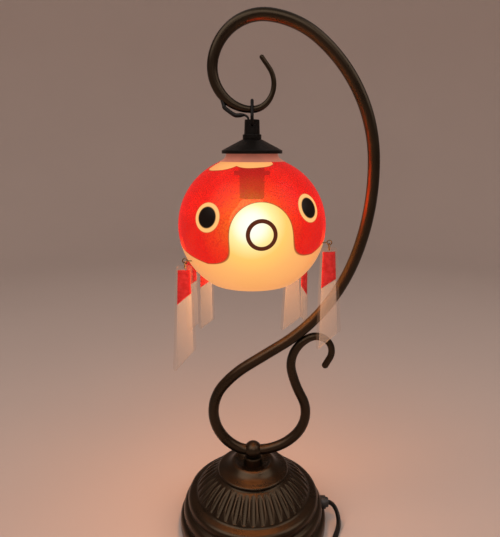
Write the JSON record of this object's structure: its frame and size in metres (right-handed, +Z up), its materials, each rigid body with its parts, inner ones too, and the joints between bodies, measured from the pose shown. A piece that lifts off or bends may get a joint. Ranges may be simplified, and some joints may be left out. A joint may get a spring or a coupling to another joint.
{
  "type": "goldfish lantern lamp",
  "caption": "Table lamp whose lit glass goldfish shade hangs with loose fins from the hook of a scrolled swan-neck stand on a fluted round base.",
  "frame": {"origin": "on the table under the middle of the round base", "axes": "+Z up, +X toward the bow of the arm, -Y toward the face of the fish"},
  "size_m": [0.1851, 0.2284, 0.4901],
  "materials": {
    "bronze": "satin",
    "cast_weight": "rough",
    "zinc_steel": "satin",
    "foot_pad": "matte",
    "white_plastic": "matte",
    "black_plastic": "satin",
    "cord_sheath": "satin",
    "black_metal": "satin",
    "brass_wire": "aged",
    "opal_glass": "frosted",
    "fish_glass": "gloss",
    "fin_film": "gloss"
  },
  "bodies": {
    "stand": {"base_shell": "bronze", "base_cap": "bronze", "base_weight": "cast_weight", "base_plate": "zinc_steel", "base_pad": "foot_pad", "base_nipple": "zinc_steel", "lock_nut": "zinc_steel", "post": "bronze", "knuckle": "bronze", "arm_tube": "bronze", "arm_hook": "bronze", "scroll_bar": "bronze", "terminal_block": "white_plastic", "cord_grommet": "black_plastic", "arm_lead": "cord_sheath", "head_lead": "cord_sheath", "cord_run": "cord_sheath", "switch_base": "black_plastic", "switch_lid": "black_plastic", "cord_link": "cord_sheath", "cord_coil": "cord_sheath", "cord_tie": "black_plastic", "cord_tail": "cord_sheath", "plug_body": "black_plastic", "plug_blades": "brass_wire"},
    "link": {"hanger_link": "black_metal"},
    "shade": {"stem": "black_metal", "stem_collar": "black_metal", "shade_cap": "black_metal", "cap_nut": "zinc_steel", "cap_screws": "black_metal", "holder_cap": "black_plastic", "holder_body": "black_plastic", "holder_ring": "black_plastic", "screw_shell": "brass_wire", "centre_contact": "brass_wire", "bulb_cap": "zinc_steel", "bulb_glass": "opal_glass", "globe": "fish_glass", "globe_floor": "fish_glass", "fin_eye_1": "brass_wire", "fin_eye_2": "brass_wire", "fin_eye_3": "brass_wire", "fin_eye_4": "brass_wire", "fin_eye_5": "brass_wire", "fin_eye_6": "brass_wire"},
    "rocker": {"rocker": "black_plastic"},
    "fin_1": {"fin_ring_1": "brass_wire", "fin_1": "fin_film"},
    "fin_2": {"fin_ring_2": "brass_wire", "fin_2": "fin_film"},
    "fin_3": {"fin_ring_3": "brass_wire", "fin_3": "fin_film"},
    "fin_4": {"fin_ring_4": "brass_wire", "fin_4": "fin_film"},
    "fin_5": {"fin_ring_5": "brass_wire", "fin_5": "fin_film"},
    "fin_6": {"fin_ring_6": "brass_wire", "fin_6": "fin_film"}
  },
  "joints": [
    {"name": "link_swing", "type": "hinge", "parent": "stand", "child": "link", "pos_m": [-0.00135, 0, 0.41136], "axis": [1, 0, 0], "range_deg": [-5, 3], "deforming": ["head_lead"]},
    {"name": "shade_swing", "type": "hinge", "parent": "link", "child": "shade", "pos_m": [-0.00135, 0, 0.39896], "axis": [0, 1, 0], "range_deg": [-10, 10]},
    {"name": "fin_1_swing", "type": "hinge", "parent": "shade", "child": "fin_1", "pos_m": [-0.0582, -0.031, 0.28498], "axis": [-1, 0, 0], "range_deg": [-10, 10]},
    {"name": "fin_2_swing", "type": "hinge", "parent": "shade", "child": "fin_2", "pos_m": [-0.04685, 0.038, 0.27298], "axis": [-0.9659, 0.2588, 0], "range_deg": [-10, 3]},
    {"name": "fin_3_swing", "type": "hinge", "parent": "shade", "child": "fin_3", "pos_m": [-0.05985, 0.03, 0.27798], "axis": [-0.9397, 0.342, 0], "range_deg": [-3, 10]},
    {"name": "fin_4_swing", "type": "hinge", "parent": "shade", "child": "fin_4", "pos_m": [0.06495, -0.022, 0.29898], "axis": [1, 0, 0], "range_deg": [-10, 3]},
    {"name": "fin_5_swing", "type": "hinge", "parent": "shade", "child": "fin_5", "pos_m": [0.04015, 0.046, 0.27398], "axis": [0.9397, 0.342, 0], "range_deg": [-3, 10]},
    {"name": "fin_6_swing", "type": "hinge", "parent": "shade", "child": "fin_6", "pos_m": [0.05115, 0.038, 0.27798], "axis": [0.6428, 0.766, 0], "range_deg": [-7, 3]},
    {"name": "rocker_tilt", "type": "hinge", "parent": "stand", "child": "rocker", "pos_m": [0.084, -0.104, 0.013], "axis": [1, 0, 0], "range_deg": [0, 14]}
  ]
}
